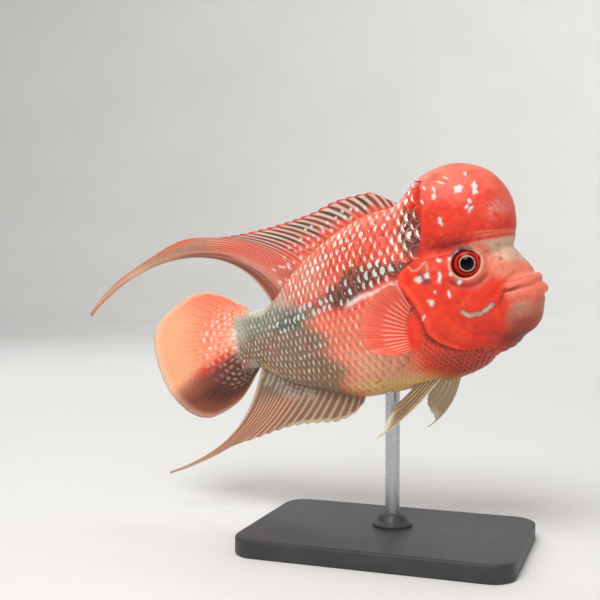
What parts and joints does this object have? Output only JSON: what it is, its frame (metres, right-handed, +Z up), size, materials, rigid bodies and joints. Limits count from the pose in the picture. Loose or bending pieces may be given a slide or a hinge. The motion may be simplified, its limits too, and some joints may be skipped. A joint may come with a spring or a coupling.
{
  "type": "flowerhorn cichlid fish model",
  "caption": "Life-size flowerhorn cichlid with a domed forehead, trailing dorsal and anal fin tips and a round tail, held by a rod on a flat display base.",
  "frame": {"origin": "middle of the flat underside of the stand's base, on the floor", "axes": "+X towards the fish's nose, +Y towards its left side, +Z up"},
  "size_m": [0.2937, 0.1, 0.2086],
  "materials": {
    "skin": "wet orange-red skin of the head and forehead dome, paler and greyer on the snout and chin",
    "scaled_skin": "wet overlapping scales, red with white pearl flecks, a row of dark blotches and an olive-grey rear",
    "fin": "salmon and grey-brown fin membrane over fine branched rays, with pale spots",
    "clear_fin": "thin pinkish fin membrane with pale peach rays",
    "pale_fin": "cream and olive fin membrane with brown streaks and white tips",
    "eye": "glossy eye, black pupil with a thin cream ring in a dark red iris",
    "stand_base": "satin charcoal display base",
    "stand_rod": "brushed steel rod"
  },
  "bodies": {
    "root": {"head": "skin", "nuchal_hump": "skin", "lower_jaw": "skin", "trunk": "scaled_skin", "tail": "scaled_skin", "dorsal_fin": "fin", "anal_fin": "fin", "caudal_fin": "fin", "pectoral_fin_r": "clear_fin", "pectoral_fin_l": "clear_fin", "pelvic_fin_r": "pale_fin", "pelvic_fin_l": "pale_fin", "eye_r": "eye", "eye_l": "eye", "stand_base": "stand_base", "stand_rod": "stand_rod"}
  },
  "joints": []
}
